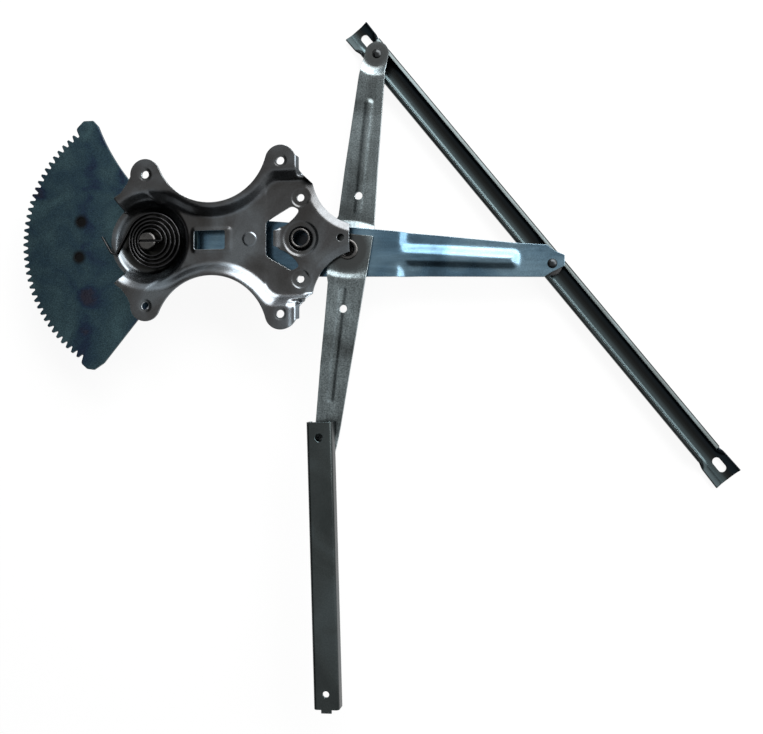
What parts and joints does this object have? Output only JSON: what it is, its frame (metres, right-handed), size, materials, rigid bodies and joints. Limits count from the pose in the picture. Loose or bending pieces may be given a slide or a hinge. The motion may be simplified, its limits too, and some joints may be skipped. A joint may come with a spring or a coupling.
{
  "type": "window regulator",
  "caption": "X-arm window regulator without its motor: stamped base plate with counterbalance spring, toothed lift arm, crossing equalizer arm, glass channel and guide channel.",
  "frame": {"origin": "on the main pivot's axis, in the plane of the ears' front faces, midway between the two pivot-end ear holes", "axes": "+Z out of the ears' bolting faces, towards the side the spring is seen from; +X along the base plate from the pivot to the motor collar; +Y towards the glass channel's upper end"},
  "size_m": [0.6312, 0.6009, 0.0458],
  "materials": {
    "zinc_plate": "zinc plated, satin",
    "zinc_arm": "zinc plated with a blue chromate cast",
    "blue_sector": "blue passivated, mottled",
    "zinc_link": "zinc plated, speckled",
    "channel_steel": "zinc plated, dull",
    "stud_steel": "turned steel",
    "spring_steel": "black phosphated spring steel",
    "roller_nylon": "black moulded nylon"
  },
  "bodies": {
    "base": {"base_plate": "zinc_plate", "pinion_bush": "stud_steel", "pivot_stud": "stud_steel", "pivot_washer": "stud_steel", "counterbalance_spring": "spring_steel"},
    "lift": {"lift_arm": "zinc_arm", "sector_gear": "blue_sector", "sector_rivets": "stud_steel", "lift_arm_bush": "stud_steel", "lift_roller_stud": "stud_steel"},
    "lift_wheel": {"lift_roller": "roller_nylon"},
    "equalizer": {"equalizer_upper_arm": "zinc_link", "equalizer_lower_arm": "zinc_link", "equalizer_rivet": "stud_steel", "upper_roller_stud": "stud_steel", "guide_roller_stud": "stud_steel", "front_wear_washer": "roller_nylon", "rear_wear_washer": "roller_nylon"},
    "upper_carrier": {"upper_roller": "roller_nylon"},
    "glass": {"glass_channel": "channel_steel"},
    "guide_carrier": {"guide_roller": "roller_nylon"},
    "guide": {"guide_channel": "channel_steel"}
  },
  "joints": [
    {"name": "lift_arm_pivot", "type": "hinge", "parent": "base", "child": "lift", "pos_m": [0, 0, -0.02], "axis": [0, 0, 1], "range_deg": [-20, 227]},
    {"name": "lift_roller_spin", "type": "hinge", "parent": "lift", "child": "lift_wheel", "pos_m": [0.35076, -0.02353, -0.039], "axis": [0, 0, 1], "continuous": true},
    {"name": "equalizer_pivot", "type": "hinge", "parent": "lift", "child": "equalizer", "pos_m": [0.17702, -0.00934, -0.021], "axis": [0, 0, 1], "range_deg": [-55, 90]},
    {"name": "glass_channel_swivel", "type": "hinge", "parent": "equalizer", "child": "upper_carrier", "pos_m": [0.20029, 0.16342, -0.039], "axis": [0, 0, 1], "range_deg": [-46, 28]},
    {"name": "glass_channel_slide", "type": "slide", "parent": "upper_carrier", "child": "glass", "axis": [0.627, -0.779, 0], "range_m": [-0.09, 0.008]},
    {"name": "guide_channel_swivel", "type": "hinge", "parent": "equalizer", "child": "guide_carrier", "pos_m": [0.15582, -0.18534, -0.006], "axis": [0, 0, 1], "range_deg": [-60, 60]},
    {"name": "guide_channel_slide", "type": "slide", "parent": "guide_carrier", "child": "guide", "axis": [-0.0279, 0.9996, 0], "range_m": [0, 0.095]}
  ],
  "couplings": [
    {"joint": "glass_channel_swivel", "follows": "equalizer_pivot", "ratio": -0.5}
  ]
}
